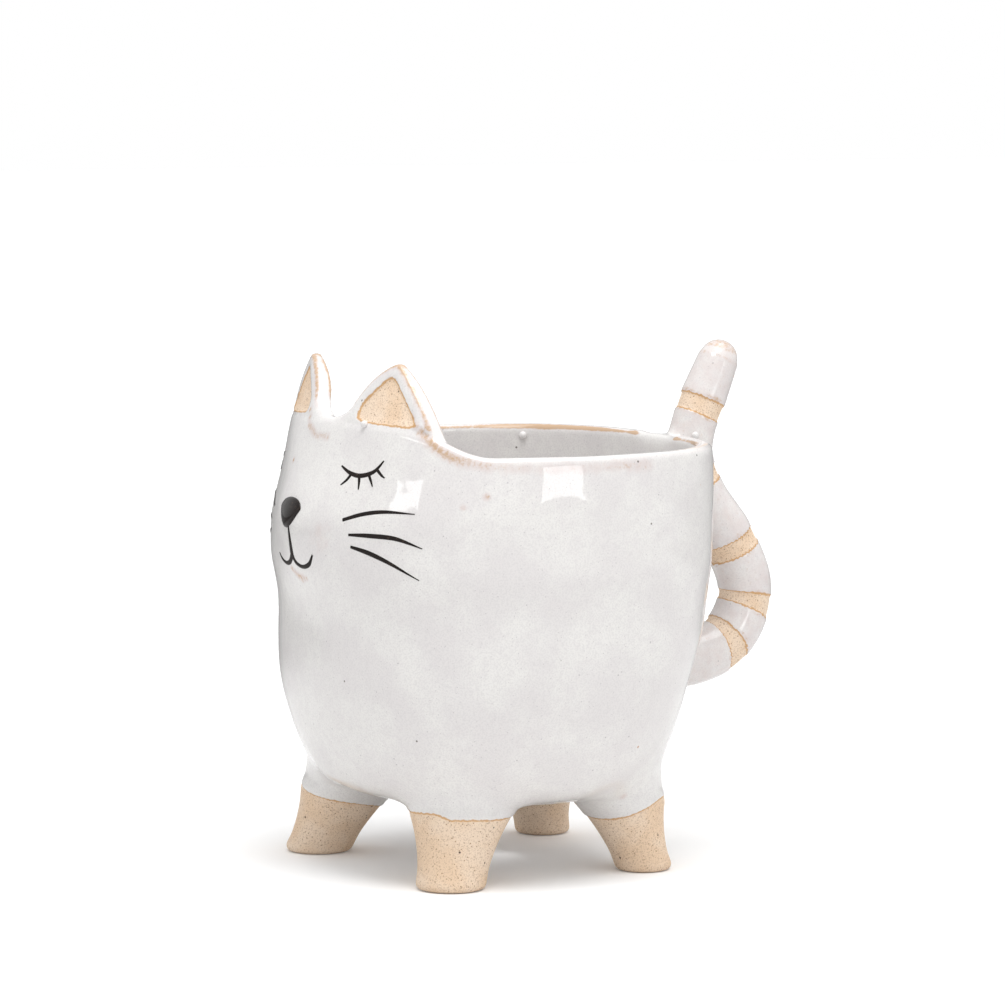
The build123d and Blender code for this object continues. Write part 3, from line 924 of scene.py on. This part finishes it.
def nose_pad():
    """The domed drop as points and faces."""
    points = []
    for share in nose_ring_shares:
        lift = nose_dome * math.sqrt(1 - share ** 3) - (nose_edge_sink if share == 1.0 else 0.0)
        for corner in range(nose_corners):
            turn = 2 * math.pi * corner / nose_corners
            across, rise = math.cos(turn), math.sin(turn)
            if rise < 0:
                across *= 1 - nose_taper * abs(rise)
                rise = -abs(rise) ** nose_point_power * nose_drop_down
            else:
                rise *= nose_rise_up
            place = nose_turn + nose_half_width * across * share
            point, direction = on_skin(place, (nose_middle_height + rise * share) * MM)
            points.append(point + direction * lift * MM)
    faces = []
    for ring in range(len(nose_ring_shares) - 1):
        for corner in range(nose_corners):
            after = (corner + 1) % nose_corners
            low, high = ring * nose_corners, (ring + 1) * nose_corners
            faces.append([low + corner, low + after, high + after, high + corner])
    faces.append([len(points) - nose_corners + corner for corner in range(nose_corners)])
    return points, faces


nose_points, nose_faces = nose_pad()
nose_mesh = bpy.data.meshes.new("nose_pad")
nose_mesh.from_pydata(nose_points, [], nose_faces)
nose_mesh.shade_smooth()
nose_mesh.materials.append(pad_black)
nose_piece = bpy.data.objects.new("nose_pad", nose_mesh)
bpy.context.collection.objects.link(nose_piece)
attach(nose_piece, "root")
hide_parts("nose")
print("nose pad:", len(nose_faces), "faces")

# %% [markdown]
# Where the pot dripped after its dip, the glaze dried in three small beads: below the near ear, on
# the far wall inside and at the foot of the tail.

# %% Beads of glaze
bead_places_mm = {
    "bead_ear": ((19.3, -48.0, 122.0), 1.0),
    "bead_inside": ((-45.0, 32.6, 111.6), 1.15),
    "bead_tail": ((5.5, 59.3, 114.2), 1.0),
}
bead_turns, bead_rows = 24, 14
bead_rise = 0.35
for name, (place, radius) in bead_places_mm.items():
    wanted = Vector(place) * MM + Vector((0, pot_axis_y, 0))
    point, direction, _, _ = skin_tree.find_nearest(wanted)
    ball = bmesh.new()
    bmesh.ops.create_uvsphere(ball, u_segments=bead_turns, v_segments=bead_rows, radius=radius * MM)
    mesh = bpy.data.meshes.new(name)
    ball.to_mesh(mesh)
    ball.free()
    set_points(mesh, points_of(mesh) + np.array(point + direction * radius * MM * bead_rise))
    glazed = [far_away] * len(mesh.vertices)
    mesh.attributes.new("bare", "FLOAT", "POINT").data.foreach_set("value", glazed)
    mesh.shade_smooth()
    mesh.materials.append(white_glaze)
    bead = bpy.data.objects.new(name, mesh)
    bpy.context.collection.objects.link(bead)
    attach(bead, "root")
    print(name, "at", [round(value / MM, 1) for value in point])

# %% [markdown]
# The studio floor is a plain white sheet. The camera sees it a shade whiter than it is, so that it
# meets the sky in pure white and still holds the shadow. In mirror images the floor far behind the
# pot is grey, which helps to draw the thin grey line down the pot's edges.

# %% Floor
floor_size = 14.0
floor_white = 0.86
floor_seen_white = 1.0
floor_lift = 0.04
floor_behind_white = 0.25
behind_distance = (0.10, 0.40)

floor_mesh = bpy.data.meshes.new("floor")
half = floor_size / 2
floor_corners = [(-half, -half, 0), (half, -half, 0), (half, half, 0), (-half, half, 0)]
floor_mesh.from_pydata(floor_corners, [], [[0, 1, 2, 3]])
floor = bpy.data.objects.new("floor", floor_mesh)
bpy.context.collection.objects.link(floor)

floor_material = bpy.data.materials.new("pale_floor")
floor_material.use_nodes = True
tree = floor_material.node_tree
tree.nodes.clear()
rays = put(tree, "LightPath", {})
seen = rays.outputs["Is Camera Ray"]
where = put(tree, "NewGeometry", {}).outputs["Position"]
beyond = put(tree, "VectorMath", {0: where, 1: tuple(forward)}, operation="DOT_PRODUCT").outputs["Value"]
behind_pot = value_ramp(tree, beyond, *behind_distance)
grey_share = times(tree, behind_pot, rays.outputs["Is Glossy Ray"])
tone = put(tree, "MapRange", {"Value": seen, "To Min": floor_white, "To Max": floor_seen_white})
tone = put(tree, "MapRange", {
    "Value": grey_share, "To Min": tone.outputs["Result"], "To Max": floor_behind_white,
})
paint = put(tree, "BsdfDiffuse", {"Color": tone.outputs["Result"]})
lift = put(tree, "Emission", {"Color": (1, 1, 1, 1), "Strength": times(tree, seen, floor_lift)})
both = put(tree, "AddShader", {0: paint.outputs[0], 1: lift.outputs[0]})
output = tree.nodes.new("ShaderNodeOutputMaterial")
tree.links.new(both.outputs[0], output.inputs["Surface"])
floor_mesh.materials.append(floor_material)
print("floor:", floor_size, "m wide")

# %% [markdown]
# The sky is white for the camera. For everything else it is a soft, even light, greyer in the small
# part behind the pot, which the glaze mirrors along its outline.

# %% Sky
sky_strength = 0.72
sky_behind_strength = 0.30
behind_from, behind_to = 0.82, 0.95

world = bpy.data.worlds.new("white_sky")
world.use_nodes = True
bpy.context.scene.world = world
tree = world.node_tree
tree.nodes.clear()
look = put(tree, "TexCoord", {}).outputs["Generated"]
ahead = put(tree, "VectorMath", {0: look, 1: tuple(forward)}, operation="DOT_PRODUCT").outputs["Value"]
grey = put(tree, "MapRange", {
    "Value": ahead, "From Min": behind_from, "From Max": behind_to,
    "To Min": sky_strength, "To Max": sky_behind_strength,
})
seen = put(tree, "LightPath", {}).outputs["Is Camera Ray"]
sky = put(tree, "Background", {"Color": (1, 1, 1, 1), "Strength": grey.outputs["Result"]})
white = put(tree, "Background", {"Color": (1, 1, 1, 1), "Strength": 1.0})
mixed = put(tree, "MixShader", {0: seen, 1: sky.outputs[0], 2: white.outputs[0]})
output = tree.nodes.new("ShaderNodeOutputWorld")
tree.links.new(mixed.outputs[0], output.inputs["Surface"])
print("sky strength:", sky_strength)

# %% [markdown]
# A large soft lamp hangs nearly overhead and gives the shadow under the belly. Two softboxes are
# there for their mirror images in the wet glaze, on the cheek and on the flank. A small one hangs
# over the mouth and lights the far wall inside.

# %% Lamps
key_direction = (0.16, 0.10, 1.0)
key_strength = 1.45
key_angle = math.radians(48)
key_distance = 2.0
softbox_distance = 1.3
lamp_aim = Vector((0, pot_axis_y, 90 * MM))


def lamp(name, kind, direction, distance, power):
    """A lamp of one kind that faces the pot from a direction."""
    data = bpy.data.lights.new(name, kind)
    data.energy = power
    made = bpy.data.objects.new(name, data)
    made.location = lamp_aim + Vector(direction).normalized() * distance
    made.rotation_euler = (-Vector(direction)).to_track_quat("-Z", "Y").to_euler()
    bpy.context.collection.objects.link(made)
    return data


def softbox(name, direction, width, height, power, distance=softbox_distance):
    """A small rectangular lamp, mainly for its mirror image."""
    data = lamp(name, "AREA", direction, distance, power)
    data.shape = "RECTANGLE"
    data.size = width
    data.size_y = height


lamp("key", "SUN", key_direction, key_distance, key_strength).angle = key_angle
softbox("softbox_front", (-0.007, -0.95, 0.297), 0.45, 0.052, 0.33)
softbox("softbox_side", (0.957, 0.258, 0.129), 0.40, 0.18, 1.0)
softbox("softbox_inside", (0.30, -0.22, 0.90), 0.10, 0.10, 0.22, distance=0.26)
bpy.context.scene.view_settings.view_transform = "Standard"
